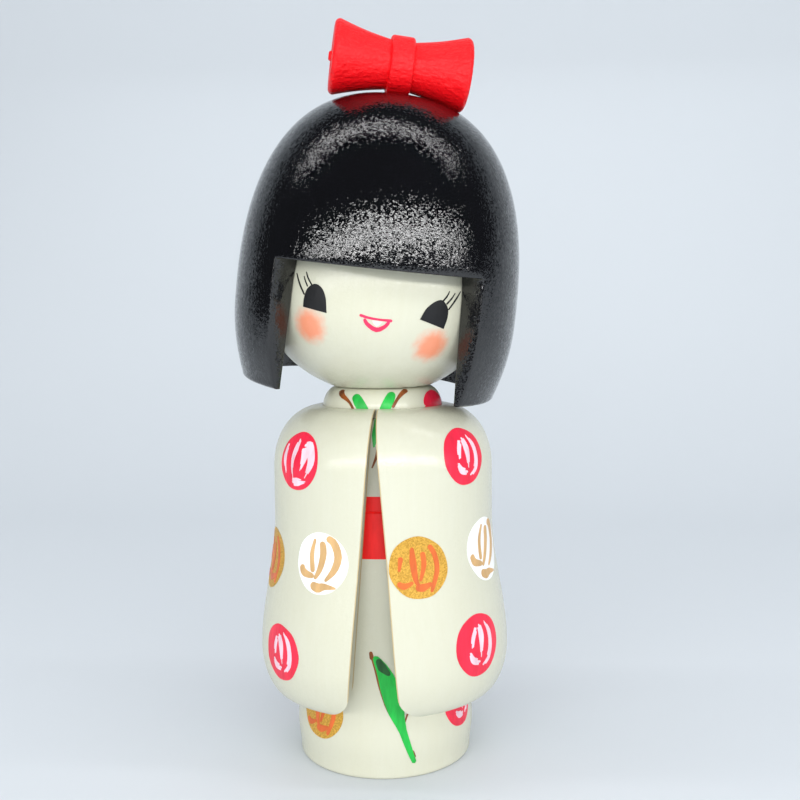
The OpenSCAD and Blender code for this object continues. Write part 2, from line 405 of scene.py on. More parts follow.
def head_place(s):
    """Turns and leans the head's own axis; the rim of the hair is at its zero."""
    turn = Matrix.Rotation(s.head_turn, 4, "Z")
    aside = Matrix.Translation((-s.head_aside, 0.0, NECK))
    lean = Matrix.Rotation(s.head_lean, 4, "Y")
    nod = Matrix.Rotation(s.head_nod, 4, "X")
    return turn @ aside @ lean @ nod


def bow_place(s):
    """The middle of the bow, with the bow's length along its own z."""
    up = crown_height(s) - 0.4 * MM + s.knot_radius
    stand = Matrix.Translation((0.0, -s.bow_forward, up))
    turn = Matrix.Rotation(s.bow_turn, 4, "Z")
    lie = Matrix.Rotation(math.radians(90) + s.bow_tip, 4, "Y")
    return head_place(s) @ stand @ turn @ lie


# ---------------------------------------------------------------- brushwork helpers


def along(points, t):
    """A point on a smooth curve through the given points, t from 0 to 1."""
    spans = len(points) - 1
    i = min(int(t * spans), spans - 1)
    u = t * spans - i
    p1 = Vector(points[i])
    p2 = Vector(points[i + 1])
    p0 = Vector(points[i - 1]) if i > 0 else p1 * 2 - p2
    p3 = Vector(points[i + 2]) if i + 2 <= spans else p2 * 2 - p1
    return (p1 * 2 + (p2 - p0) * u + (p0 * 2 - p1 * 5 + p2 * 4 - p3) * u * u
            + (p1 * 3 - p0 - p2 * 3 + p3) * u ** 3) / 2


def blank(name):
    """An empty mesh object in edit mode, ready for brushwork."""
    nothing_selected()
    bpy.ops.mesh.primitive_plane_add(size=1 * MM)
    piece = bpy.context.object
    piece.name = name
    piece.data.name = name
    bpy.ops.object.mode_set(mode="EDIT")
    bpy.ops.mesh.select_mode(type="VERT")
    bpy.ops.mesh.select_all(action="SELECT")
    bpy.ops.mesh.delete(type="VERT")
    return piece


def fresh_verts(piece, before):
    mesh = bmesh.from_edit_mesh(piece.data)
    mesh.verts.ensure_lookup_table()
    return mesh, mesh.verts[before:]


def stroke(piece, path, widths, cells=14, across=3):
    """Adds one flat brush stroke in millimetres along a path, with rounded ends."""
    before = len(bmesh.from_edit_mesh(piece.data).verts)
    bpy.ops.mesh.select_all(action="DESELECT")
    bpy.ops.mesh.primitive_grid_add(x_subdivisions=cells, y_subdivisions=across, size=2)
    mesh, verts = fresh_verts(piece, before)
    spans = [along(path, i / 24) for i in range(25)]
    total = sum((b - a).length for a, b in zip(spans, spans[1:]))
    for vert in verts:
        t = min(max((vert.co.x + 1) / 2, 0.0), 1.0)
        t = 0.5 - 0.5 * math.cos(math.pi * t) * (0.35 + 0.65 * abs(math.cos(math.pi * t)) ** 0.2)
        t = min(max(t, 0.0), 1.0)
        side = vert.co.y
        here = along(path, t)
        ahead = along(path, min(t + 0.02, 1.0)) - along(path, max(t - 0.02, 0.0))
        ahead.normalize()
        place = t * (len(widths) - 1)
        i = min(int(place), len(widths) - 2)
        wide = widths[i] + (widths[i + 1] - widths[i]) * (place - i)
        end = min(1.0, min(t, 1 - t) * total / max(wide / 2, 0.01))
        half = wide / 2 * max(0.1, math.sqrt(max(0.0, 1 - (1 - end) ** 2)))
        spot = here + Vector((-ahead.y, ahead.x)) * half * side
        vert.co = Vector((spot.x, spot.y, 0.0)) * MM
    bmesh.update_edit_mesh(piece.data)


def patch(piece, outline, rings=3):
    """Adds a flat filled shape in millimetres, with rings inside so that it can lie on a curve."""
    before = len(bmesh.from_edit_mesh(piece.data).verts)
    bpy.ops.mesh.select_mode(type="FACE")
    bpy.ops.mesh.select_all(action="DESELECT")
    bpy.ops.mesh.primitive_circle_add(vertices=len(outline), radius=1, fill_type="NGON")
    mesh, verts = fresh_verts(piece, before)
    order = sorted(verts, key=lambda v: math.atan2(v.co.y, v.co.x))
    for vert, spot in zip(order, sorted(outline, key=lambda p: math.atan2(p[1], p[0]))):
        vert.co = Vector((spot[0], spot[1], 0.0)) * MM
    bmesh.update_edit_mesh(piece.data)
    middle = Vector([sum(p[axis] for p in outline) * MM / len(outline) for axis in (0, 1)] + [0.0])
    for i in range(rings):
        share = (rings - i) / (rings + 1 - i)
        bpy.ops.mesh.inset(thickness=0.0)
        bpy.ops.transform.resize(value=(share, share, 1.0), center_override=middle)
    bpy.ops.mesh.poke()
    bpy.ops.mesh.select_mode(type="VERT")


def disc(radius, uneven, phase, points=48):
    """The outline of a hand-painted ball."""
    outline = []
    for i in range(points):
        a = math.tau * i / points
        r = radius * (1 + uneven * (math.sin(2 * a + phase) + 0.6 * math.sin(3 * a + 2.1 * phase)
                                    + 0.35 * math.sin(7 * a + phase * 3)))
        outline.append((r * math.cos(a), r * math.sin(a)))
    return outline


def tangent(radius, degrees, z, tilt=0.0):
    """A frame in front of a turned surface: x to the doll's left, y up, z outwards."""
    a = math.radians(degrees)
    out = Vector((math.sin(a), -math.cos(a), 0.0))
    east = Vector((math.cos(a), math.sin(a), 0.0))
    up = Vector((0.0, 0.0, 1.0))
    turn = Matrix((east, up, out)).transposed().to_4x4()
    return Matrix.Translation(out * radius + up * z) @ turn @ Matrix.Rotation(math.radians(-tilt), 4, "X")


def lay(piece, surface, place, lift, thickness, away=6 * MM):
    """Lays flat brushwork on a surface and gives it the thickness of paint."""
    only(piece)
    piece.matrix_world = place @ Matrix.Translation((0.0, 0.0, away))
    press = piece.modifiers.new("press_on", "SHRINKWRAP")
    press.target = surface
    press.wrap_method = "PROJECT"
    press.wrap_mode = "ABOVE_SURFACE"
    press.use_project_x = False
    press.use_project_y = False
    press.use_project_z = True
    press.use_negative_direction = True
    press.use_positive_direction = False
    press.offset = lift
    bpy.ops.object.modifier_apply(modifier=press.name)
    film = piece.modifiers.new("film", "SOLIDIFY")
    film.thickness = thickness
    film.offset = 1.0
    bpy.ops.object.modifier_apply(modifier=film.name)
    bpy.ops.object.transform_apply(location=True, rotation=True, scale=True)


def join(name, pieces):
    nothing_selected()
    for piece in pieces:
        piece.select_set(True)
    bpy.context.view_layer.objects.active = pieces[0]
    if len(pieces) > 1:
        bpy.ops.object.join()
    piece = bpy.context.view_layer.objects.active
    piece.name = name
    piece.data.name = name
    smooth(piece, 40)
    return piece


# ---------------------------------------------------------------- finishes


def group_socket(group, name, kind, direction, default=None):
    socket = group.interface.new_socket(name=name, in_out=direction, socket_type=kind)
    if default is not None:
        socket.default_value = default
    return socket


def turned_grain():
    """Streaks along the turning axis with fine pores, as height and tone."""
    name = "turned_wood_grain"
    if name in bpy.data.node_groups:
        return bpy.data.node_groups[name]
    group = bpy.data.node_groups.new(name, "ShaderNodeTree")
    group_socket(group, "Vector", "NodeSocketVector", "INPUT")
    group_socket(group, "Streaks", "NodeSocketFloat", "INPUT", 1.0)
    group_socket(group, "Pores", "NodeSocketFloat", "INPUT", 1.0)
    group_socket(group, "Streak Scale", "NodeSocketFloat", "INPUT", 900.0)
    group_socket(group, "Pore Scale", "NodeSocketFloat", "INPUT", 2600.0)
    group_socket(group, "Stretch", "NodeSocketVector", "INPUT", (1.0, 1.0, 0.09))
    group_socket(group, "Height", "NodeSocketFloat", "OUTPUT")
    group_socket(group, "Tone", "NodeSocketFloat", "OUTPUT")
    nodes = group.nodes
    links = group.links
    given = nodes.new("NodeGroupInput")
    out = nodes.new("NodeGroupOutput")
    stretch = nodes.new("ShaderNodeVectorMath")
    stretch.operation = "MULTIPLY"
    streak = nodes.new("ShaderNodeTexNoise")
    streak.inputs["Detail"].default_value = 3.0
    streak.inputs["Roughness"].default_value = 0.6
    fine = nodes.new("ShaderNodeTexNoise")
    fine.inputs["Detail"].default_value = 2.0
    broad = nodes.new("ShaderNodeTexNoise")
    broad.inputs["Scale"].default_value = 55.0
    broad.inputs["Detail"].default_value = 2.0
    streak_part = nodes.new("ShaderNodeMath")
    streak_part.operation = "MULTIPLY"
    fine_part = nodes.new("ShaderNodeMath")
    fine_part.operation = "MULTIPLY"
    total = nodes.new("ShaderNodeMath")
    total.operation = "ADD"
    tone = nodes.new("ShaderNodeMix")
    tone.inputs["Factor"].default_value = 0.4
    links.new(given.outputs["Vector"], stretch.inputs[0])
    links.new(given.outputs["Stretch"], stretch.inputs[1])
    links.new(given.outputs["Streak Scale"], streak.inputs["Scale"])
    links.new(given.outputs["Pore Scale"], fine.inputs["Scale"])
    links.new(stretch.outputs["Vector"], streak.inputs["Vector"])
    links.new(stretch.outputs["Vector"], broad.inputs["Vector"])
    links.new(given.outputs["Vector"], fine.inputs["Vector"])
    links.new(streak.outputs["Fac"], streak_part.inputs[0])
    links.new(given.outputs["Streaks"], streak_part.inputs[1])
    links.new(fine.outputs["Fac"], fine_part.inputs[0])
    links.new(given.outputs["Pores"], fine_part.inputs[1])
    links.new(streak_part.outputs["Value"], total.inputs[0])
    links.new(fine_part.outputs["Value"], total.inputs[1])
    links.new(broad.outputs["Fac"], tone.inputs["A"])
    links.new(streak.outputs["Fac"], tone.inputs["B"])
    links.new(total.outputs["Value"], out.inputs["Height"])
    links.new(tone.outputs["Result"], out.inputs["Tone"])
    return group


def lacquer_facets():
    """Tiny flat facets of lacquer over grain: each cell leans its own way."""
    name = "lacquer_facets"
    if name in bpy.data.node_groups:
        return bpy.data.node_groups[name]
    group = bpy.data.node_groups.new(name, "ShaderNodeTree")
    group_socket(group, "Vector", "NodeSocketVector", "INPUT")
    group_socket(group, "Normal", "NodeSocketVector", "INPUT")
    group_socket(group, "Facet Scale", "NodeSocketFloat", "INPUT", 2600.0)
    group_socket(group, "Lean", "NodeSocketFloat", "INPUT", 0.2)
    group_socket(group, "Normal", "NodeSocketVector", "OUTPUT")
    nodes = group.nodes
    links = group.links
    given = nodes.new("NodeGroupInput")
    out = nodes.new("NodeGroupOutput")
    cells = nodes.new("ShaderNodeTexVoronoi")
    centred = nodes.new("ShaderNodeVectorMath")
    centred.operation = "SUBTRACT"
    centred.inputs[1].default_value = (0.5, 0.5, 0.5)
    lean = nodes.new("ShaderNodeVectorMath")
    lean.operation = "SCALE"
    leaning = nodes.new("ShaderNodeVectorMath")
    leaning.operation = "ADD"
    unit = nodes.new("ShaderNodeVectorMath")
    unit.operation = "NORMALIZE"
    links.new(given.outputs["Vector"], cells.inputs["Vector"])
    links.new(given.outputs["Facet Scale"], cells.inputs["Scale"])
    links.new(cells.outputs["Color"], centred.inputs[0])
    links.new(centred.outputs["Vector"], lean.inputs[0])
    links.new(given.outputs["Lean"], lean.inputs["Scale"])
    links.new(given.outputs["Normal"], leaning.inputs[0])
    links.new(lean.outputs["Vector"], leaning.inputs[1])
    links.new(leaning.outputs["Vector"], unit.inputs[0])
    links.new(unit.outputs["Vector"], out.inputs["Normal"])
    return group


def brush_marks():
    """The uneven cover and low ridges of brushed paint, as height and tone."""
    name = "brushed_paint"
    if name in bpy.data.node_groups:
        return bpy.data.node_groups[name]
    group = bpy.data.node_groups.new(name, "ShaderNodeTree")
    group_socket(group, "Vector", "NodeSocketVector", "INPUT")
    group_socket(group, "Stretch", "NodeSocketVector", "INPUT", (1.0, 1.0, 0.25))
    group_socket(group, "Height", "NodeSocketFloat", "OUTPUT")
    group_socket(group, "Tone", "NodeSocketFloat", "OUTPUT")
    nodes = group.nodes
    links = group.links
    given = nodes.new("NodeGroupInput")
    out = nodes.new("NodeGroupOutput")
    scale = nodes.new("ShaderNodeVectorMath")
    scale.operation = "MULTIPLY"
    ridges = nodes.new("ShaderNodeTexNoise")
    ridges.inputs["Scale"].default_value = 1500.0
    ridges.inputs["Detail"].default_value = 2.0
    cover = nodes.new("ShaderNodeTexNoise")
    cover.inputs["Scale"].default_value = 420.0
    cover.inputs["Detail"].default_value = 3.0
    cover.inputs["Roughness"].default_value = 0.65
    links.new(given.outputs["Vector"], scale.inputs[0])
    links.new(given.outputs["Stretch"], scale.inputs[1])
    links.new(scale.outputs["Vector"], ridges.inputs["Vector"])
    links.new(scale.outputs["Vector"], cover.inputs["Vector"])
    links.new(ridges.outputs["Fac"], out.inputs["Height"])
    links.new(cover.outputs["Fac"], out.inputs["Tone"])
    return group


def metal_flakes():
    """Small bright flakes in gold paint, as height and tone."""
    name = "gold_flakes"
    if name in bpy.data.node_groups:
        return bpy.data.node_groups[name]
    group = bpy.data.node_groups.new(name, "ShaderNodeTree")
    group_socket(group, "Vector", "NodeSocketVector", "INPUT")
    group_socket(group, "Flake Scale", "NodeSocketFloat", "INPUT", 2200.0)
    group_socket(group, "Height", "NodeSocketFloat", "OUTPUT")
    group_socket(group, "Tone", "NodeSocketFloat", "OUTPUT")
    nodes = group.nodes
    links = group.links
    given = nodes.new("NodeGroupInput")
    out = nodes.new("NodeGroupOutput")
    cells = nodes.new("ShaderNodeTexVoronoi")
    grey = nodes.new("ShaderNodeSeparateColor")
    links.new(given.outputs["Vector"], cells.inputs["Vector"])
    links.new(given.outputs["Flake Scale"], cells.inputs["Scale"])
    links.new(cells.outputs["Color"], grey.inputs["Color"])
    links.new(grey.outputs["Red"], out.inputs["Height"])
    links.new(grey.outputs["Green"], out.inputs["Tone"])
    return group


def start_material(name):
    material = bpy.data.materials.get(name)
    if material is not None:
        return material, None, None, None
    material = bpy.data.materials.new(name)
    material.use_nodes = True
    nodes = material.node_tree.nodes
    links = material.node_tree.links
    return material, nodes, links, nodes["Principled BSDF"]


def piece_space(nodes, links, place=None):
    """Object coordinates, turned to the piece's own axes when it leans."""
    where = nodes.new("ShaderNodeTexCoord")
    if place is None:
        return where.outputs["Object"]
    lean = nodes.new("ShaderNodeMapping")
    lean.vector_type = "TEXTURE"
    lean.inputs["Location"].default_value = place.to_translation()
    lean.inputs["Rotation"].default_value = place.to_euler("XYZ")
    links.new(where.outputs["Object"], lean.inputs["Vector"])
    return lean.outputs["Vector"]


def place_group(nodes, links, tree, vector, **values):
    node = nodes.new("ShaderNodeGroup")
    node.node_tree = tree
    links.new(vector, node.inputs["Vector"])
    for name, value in values.items():
        node.inputs[name.replace("_", " ")].default_value = value
    return node


def ramp(nodes, links, value, low, high, low_to=0.0, high_to=1.0):
    node = nodes.new("ShaderNodeMapRange")
    node.inputs["From Min"].default_value = low
    node.inputs["From Max"].default_value = high
    node.inputs["To Min"].default_value = low_to
    node.inputs["To Max"].default_value = high_to
    links.new(value, node.inputs["Value"])
    return node.outputs["Result"]


def mixed(nodes, links, factor, first, second):
    """A colour between two, each a colour or a socket."""
    node = nodes.new("ShaderNodeMix")
    node.data_type = "RGBA"
    links.new(factor, node.inputs["Factor"])
    for socket, value in ((node.inputs["A"], first), (node.inputs["B"], second)):
        if isinstance(value, bpy.types.NodeSocket):
            links.new(value, socket)
        else:
            socket.default_value = (*value, 1.0)
    return node.outputs["Result"]


def bumped(nodes, links, shader, height, distance, strength=1.0):
    node = nodes.new("ShaderNodeBump")
    node.inputs["Strength"].default_value = strength
    node.inputs["Distance"].default_value = distance
    links.new(height, node.inputs["Height"])
    links.new(node.outputs["Normal"], shader.inputs["Normal"])
    return node


def faceted(nodes, links, shader, space, bump, scale, lean):
    facets = place_group(nodes, links, lacquer_facets(), space, Facet_Scale=scale, Lean=lean)
    links.new(bump.outputs["Normal"], facets.inputs["Normal"])
    links.new(facets.outputs["Normal"], shader.inputs["Normal"])


def shade(value, factor):
    return tuple(min(1.0, v * f) for v, f in zip(value, factor))


def ivory_lacquer(name, colours, place=None, cheeks=(), sawn=None):
    """Glossy ivory paint over turned wood, with a faint grain, the blush and the sawn faces of the slit."""
    material, nodes, links, shader = start_material(name)
    if nodes is None:
        return material
    space = piece_space(nodes, links, place)
    grain = place_group(nodes, links, turned_grain(), space, Streaks=0.8, Pores=0.6)
    tone = ramp(nodes, links, grain.outputs["Tone"], 0.3, 0.7)
    base = mixed(nodes, links, tone, shade(colours.ivory, (0.975, 0.965, 0.93)),
                 shade(colours.ivory, (1.01, 1.01, 1.02)))
    if sawn is not None:
        base = mixed(nodes, links, slit_mask(nodes, links, space, *sawn), base, colours.sawn)
    for spot, radius in cheeks:
        apart = nodes.new("ShaderNodeVectorMath")
        apart.operation = "DISTANCE"
        apart.inputs[1].default_value = spot
        links.new(space, apart.inputs[0])
        ragged = nodes.new("ShaderNodeTexNoise")
        ragged.inputs["Scale"].default_value = 600.0
        ragged.inputs["Detail"].default_value = 3.0
        links.new(space, ragged.inputs["Vector"])
        wander = nodes.new("ShaderNodeMath")
        wander.operation = "MULTIPLY_ADD"
        wander.inputs[1].default_value = radius * 0.5
        links.new(ragged.outputs["Fac"], wander.inputs[0])
        links.new(apart.outputs["Value"], wander.inputs[2])
        soft = nodes.new("ShaderNodeMapRange")
        soft.interpolation_type = "SMOOTHSTEP"
        soft.inputs["From Min"].default_value = radius * 1.42
        soft.inputs["From Max"].default_value = radius * 0.6
        soft.inputs["To Min"].default_value = 0.0
        soft.inputs["To Max"].default_value = 0.8
        links.new(wander.outputs["Value"], soft.inputs["Value"])
        base = mixed(nodes, links, soft.outputs["Result"], base, colours.cheek)
    links.new(base, shader.inputs["Base Color"])
    links.new(ramp(nodes, links, grain.outputs["Tone"], 0.3, 0.7, 0.27, 0.2), shader.inputs["Roughness"])
    bump = bumped(nodes, links, shader, grain.outputs["Height"], 0.00004, 0.8)
    faceted(nodes, links, shader, space, bump, 2200.0, 0.06)
    return material


def slit_mask(nodes, links, space, top_z, half_top, slope):
    """1 on the two sawn faces of the slit, fading out just past their edges."""
    parts = nodes.new("ShaderNodeSeparateXYZ")
    links.new(space, parts.inputs["Vector"])
    side = nodes.new("ShaderNodeMath")
    side.operation = "ABSOLUTE"
    links.new(parts.outputs["X"], side.inputs[0])
    half = nodes.new("ShaderNodeMath")
    half.operation = "MULTIPLY_ADD"
    half.inputs[1].default_value = slope
    half.inputs[2].default_value = -half_top - slope * top_z
    links.new(parts.outputs["Z"], half.inputs[0])
    past = nodes.new("ShaderNodeMath")
    past.operation = "ADD"
    links.new(side.outputs["Value"], past.inputs[0])
    links.new(half.outputs["Value"], past.inputs[1])
    near = ramp(nodes, links, past.outputs["Value"], 0.3 * MM, 0.12 * MM)
    front = ramp(nodes, links, parts.outputs["Y"], -8 * MM, -10 * MM)
    both = nodes.new("ShaderNodeMath")
    both.operation = "MULTIPLY"
    links.new(near, both.inputs[0])
    links.new(front, both.inputs[1])
    return both.outputs["Value"]


def black_lacquer(colours, place):
    """Thick black lacquer: the grain under it breaks its highlights into sparks."""
    material, nodes, links, shader = start_material("black_lacquer_hair")
    if nodes is None:
        return material
    space = piece_space(nodes, links, place)
    grain = place_group(nodes, links, turned_grain(), space, Streaks=0.9, Pores=1.0,
                        Streak_Scale=1000.0, Pore_Scale=2600.0, Stretch=(1.0, 1.0, 0.22))
    tone = ramp(nodes, links, grain.outputs["Tone"], 0.3, 0.75)
    base = mixed(nodes, links, tone, colours.black, shade(colours.black, (1.6, 1.6, 1.7)))
    links.new(base, shader.inputs["Base Color"])
    links.new(ramp(nodes, links, grain.outputs["Tone"], 0.3, 0.7, 0.06, 0.03), shader.inputs["Roughness"])
    shader.inputs["Specular IOR Level"].default_value = 0.8
    bump = bumped(nodes, links, shader, grain.outputs["Height"], 0.00006, 0.8)
    faceted(nodes, links, shader, space, bump, 2400.0, 0.12)
    return material


def red_lacquer(colours, place):
    """Red lacquer brushed over coarse turned wood."""
    material, nodes, links, shader = start_material("red_lacquer_bow")
    if nodes is None:
        return material
    space = piece_space(nodes, links, place)
    grain = place_group(nodes, links, turned_grain(), space, Streaks=1.0, Pores=0.5,
                        Streak_Scale=800.0, Pore_Scale=1500.0, Stretch=(1.0, 1.0, 0.3))
    tone = ramp(nodes, links, grain.outputs["Tone"], 0.3, 0.7)
    base = mixed(nodes, links, tone, shade(colours.red, (0.86, 0.7, 0.7)),
                 shade(colours.red, (1.08, 1.3, 1.3)))
    links.new(base, shader.inputs["Base Color"])
    links.new(ramp(nodes, links, grain.outputs["Tone"], 0.3, 0.7, 0.5, 0.36), shader.inputs["Roughness"])
    shader.inputs["Specular IOR Level"].default_value = 0.35
    bumped(nodes, links, shader, grain.outputs["Height"], 0.0005, 0.8)
    return material


def bare_wood(colours):
    """Plain dowel wood with long grain."""
    material, nodes, links, shader = start_material("bare_wood_dowel")
    if nodes is None:
        return material
    space = piece_space(nodes, links)
    grain = place_group(nodes, links, turned_grain(), space, Streaks=1.0, Pores=0.6)
    tone = ramp(nodes, links, grain.outputs["Tone"], 0.3, 0.7)
    base = mixed(nodes, links, tone, shade(colours.wood, (0.72, 0.66, 0.6)), colours.wood)
    links.new(base, shader.inputs["Base Color"])
    shader.inputs["Roughness"].default_value = 0.65
    bumped(nodes, links, shader, grain.outputs["Height"], 0.0001, 0.6)
    return material


def brushed_paint(name, value, darker=0.8, lighter=1.1, roughness=0.35, ridge=0.00006):
    """Opaque craft paint with brush ridges and an uneven cover."""
    material, nodes, links, shader = start_material(name)
    if nodes is None:
        return material
    space = piece_space(nodes, links)
    marks = place_group(nodes, links, brush_marks(), space)
    tone = ramp(nodes, links, marks.outputs["Tone"], 0.32, 0.68)
    base = mixed(nodes, links, tone, shade(value, (darker,) * 3), shade(value, (lighter,) * 3))
    links.new(base, shader.inputs["Base Color"])
    links.new(ramp(nodes, links, marks.outputs["Tone"], 0.3, 0.7, roughness + 0.08, roughness - 0.06),
              shader.inputs["Roughness"])
    shader.inputs["Specular IOR Level"].default_value = 0.4
    bumped(nodes, links, shader, marks.outputs["Height"], ridge, 0.8)
    return material


def gold_paint(colours):
    """Gold paint full of metal flakes, which catch the light one by one."""
    material, nodes, links, shader = start_material("gold_paint_flaked")
    if nodes is None:
        return material
    space = piece_space(nodes, links)
    flakes = place_group(nodes, links, metal_flakes(), space, Flake_Scale=3800.0)
    tone = ramp(nodes, links, flakes.outputs["Tone"], 0.1, 0.95)
    base = mixed(nodes, links, tone, shade(colours.paint_gold, (0.76, 0.7, 0.55)),
                 shade(colours.paint_gold, (1.12, 1.15, 1.4)))
    links.new(base, shader.inputs["Base Color"])
    shader.inputs["Metallic"].default_value = 0.35
    shader.inputs["Roughness"].default_value = 0.45
    bumped(nodes, links, shader, flakes.outputs["Height"], 0.00008, 0.6)
    return material


def backdrop_paper(colours):
    material, nodes, _, shader = start_material("backdrop_paper")
    if nodes is None:
        return material
    shader.inputs["Base Color"].default_value = (*colours.backdrop, 1.0)
    shader.inputs["Roughness"].default_value = 0.9
    shader.inputs["Specular IOR Level"].default_value = 0.1
    return material


# ---------------------------------------------------------------- turned pieces


class KOKESHI_OT_body(bpy.types.Operator):
    """Turns the body with its collar, foot and blind hole for the neck dowel"""

    bl_idname = "kokeshi.body"
    bl_label = "Body"

    def execute(self, context):
        s = context.scene.doll_sizes
        body = turned("turned_body", body_outline(s), 160)
        smooth(body)
        paint_with(body, ivory_lacquer("ivory_lacquer_body", context.scene.doll_colours))
        hand_over(body, "figure", "ivory_lacquer", "body")
        return {"FINISHED"}


class KOKESHI_OT_coat(bpy.types.Operator):
    """Turns the thick coat and opens its front slit down to the rounded corners"""

    bl_idname = "kokeshi.coat"
    bl_label = "Coat"

    def execute(self, context):
        s = context.scene.doll_sizes
        outside, inside = coat_chains(s)
        section = outside + list(reversed(inside))[1:] + outside[:1]
        first = 1.0
        coat = turned("turned_coat", section, 178, start=first, sweep=360 - 2 * first)
        self.open_slit(s, coat, first)
        self.close_ends(coat, outside, inside)
        soften(coat, 0.22 * MM)
        smooth(coat)
        slope = (s.slit_hem - s.slit_top) / (COAT_HIGH.z - COAT_LOW.z)
        finish = ivory_lacquer("ivory_lacquer_coat", context.scene.doll_colours,
                               sawn=(COAT_HIGH.z, s.slit_top, slope))
        paint_with(coat, finish)
        hand_over(coat, "figure", "ivory_lacquer", "coat")
        return {"FINISHED"}

    def open_slit(self, s, coat, first):
        """Closes the rings up so that they end on the two faces of the slit."""
        for vert in coat.data.vertices:
            turn = math.degrees(math.atan2(vert.co.x, -vert.co.y)) % 360
            share = (turn - first) / (360 - 2 * first)
            radius = math.hypot(vert.co.x, vert.co.y)
            edge = math.asin(min(0.99, slit_half(s, vert.co.z) / radius))
            a = edge + share * (math.tau - 2 * edge)
            vert.co.x = radius * math.sin(a)
            vert.co.y = -radius * math.cos(a)

    def close_ends(self, coat, outside, inside):
        """Bridges the outside to the inside along each face of the slit."""
        only(coat)
        bpy.ops.object.mode_set(mode="EDIT")

        def outer(vert):
            radius = math.hypot(vert.co.x, vert.co.y)
            out_gap = min(abs(r - radius) + abs(z - vert.co.z) for r, z in outside)
            in_gap = min(abs(r - radius) + abs(z - vert.co.z) for r, z in inside)
            return out_gap, in_gap

        for side in (-1, 1):
            def chain_edge(edge, side=side):
                if not edge.is_boundary or min(v.co.x * side for v in edge.verts) <= 0:
                    return False
                gaps = [outer(v) for v in edge.verts]
                on_outside = all(g[0] < 0.02 * MM for g in gaps)
                on_inside = all(g[1] < 0.02 * MM for g in gaps)
                return on_outside or on_inside

            pick(coat, "EDGE", chain_edge)
            bpy.ops.mesh.bridge_edge_loops()
        bpy.ops.mesh.select_all(action="SELECT")
        bpy.ops.mesh.remove_doubles(threshold=0.001 * MM)
        bpy.ops.mesh.normals_make_consistent(inside=False)
        bpy.ops.object.mode_set(mode="OBJECT")


class KOKESHI_OT_head(bpy.types.Operator):
    """Turns the head, leans it over and cuts the flat that stands on the neck"""

    bl_idname = "kokeshi.head"
    bl_label = "Head"

    def execute(self, context):
        s = context.scene.doll_sizes
        low = arc(0.0, s.head_middle, s.head_radius, s.head_below, -90, 0, steps=36)
        high = arc(0.0, s.head_middle, s.head_radius, s.head_above, 0, 90, steps=36)
        low[0] = (0.0, low[0][1])
        high[-1] = (0.0, high[-1][1])
        head = turned("turned_head", low + high[1:], 160)
        put(head, head_place(s))
        only(head)
        bpy.ops.object.mode_set(mode="EDIT")
        bpy.ops.mesh.select_all(action="SELECT")
        bpy.ops.mesh.bisect(
            plane_co=(0, 0, NECK + 0.1 * MM), plane_no=(0, 0, -1), clear_outer=True, use_fill=True
        )
        bpy.ops.mesh.select_all(action="SELECT")
        bpy.ops.mesh.normals_make_consistent(inside=False)
        bpy.ops.object.mode_set(mode="OBJECT")
        smooth(head)
        cheeks = []
        for degrees, z in ((-32.3, 13.7 * MM), (30.4, 12.0 * MM)):
            a = math.radians(degrees)
            r = head_radius_at(s, z)
            cheeks.append(((r * math.sin(a), -r * math.cos(a), z), 4.3 * MM))
        finish = ivory_lacquer("ivory_lacquer_head", context.scene.doll_colours, head_place(s), cheeks)
        paint_with(head, finish)
        hand_over(head, "head_group", "ivory_lacquer", "head")
        return {"FINISHED"}


class KOKESHI_OT_hair(bpy.types.Operator):
    """Turns the hollow hair and saws the window that the face looks through"""

    bl_idname = "kokeshi.hair"
    bl_label = "Hair"

    def execute(self, context):
        s = context.scene.doll_sizes
        columns = 177
        half = math.degrees(s.window_half)
        cells = round(half * columns / 360)
        start = cells * 360 / columns
        hair = turned("turned_hair", hair_outline(s), columns, start=start)
        only(hair)
        bpy.ops.object.mode_set(mode="EDIT")

        def in_window(face):
            centre = face.calc_center_median()
            out_of_middle = math.hypot(centre.x, centre.y) > 0.02
            return abs(bearing(centre)) < start and centre.z < s.fringe and out_of_middle

        pick(hair, "FACE", in_window)
        bpy.ops.mesh.delete(type="FACE")

        def wall(vert):
            middle = (hair_outside_at(s, vert.co.z) + hair_inside_at(s, vert.co.z)) / 2
            return math.hypot(vert.co.x, vert.co.y) > middle

        pick(hair, "EDGE", lambda e: e.is_boundary and wall(e.verts[0]) == wall(e.verts[1]))
        bpy.ops.mesh.bridge_edge_loops()
        bpy.ops.mesh.select_all(action="SELECT")
        bpy.ops.mesh.normals_make_consistent(inside=False)
        bpy.ops.object.mode_set(mode="OBJECT")
        soften(hair, 0.28 * MM)
        smooth(hair)
        put(hair, head_place(s))
        paint_with(hair, black_lacquer(context.scene.doll_colours, head_place(s)))
        hand_over(hair, "head_group", "black_lacquer", "hair")
        return {"FINISHED"}


class KOKESHI_OT_bow(bpy.types.Operator):
    """Turns the bow as a spool with a knot, and leaves the nub where it was parted off"""

    bl_idname = "kokeshi.bow"
    bl_label = "Bow"

    def execute(self, context):
        s = context.scene.doll_sizes
        bow = turned("turned_bow", bow_outline(s), 96)
        smooth(bow, 40)
        put(bow, bow_place(s))
        paint_with(bow, red_lacquer(context.scene.doll_colours, bow_place(s)))
        hand_over(bow, "head_group", "red_lacquer", "bow")
        return {"FINISHED"}


class KOKESHI_OT_dowels(bpy.types.Operator):
    """Gives the neck dowel and the bow's dowel their bare wood"""

    bl_idname = "kokeshi.dowels"
    bl_label = "Dowels"

    def execute(self, context):
        wood = bare_wood(context.scene.doll_colours)
        for name in ("neck_dowel", "bow_dowel"):
            dowel = frame["nodes"][name]
            for slot in dowel.material_slots:
                slot.material = wood
        return {"FINISHED"}


# ---------------------------------------------------------------- painted decoration


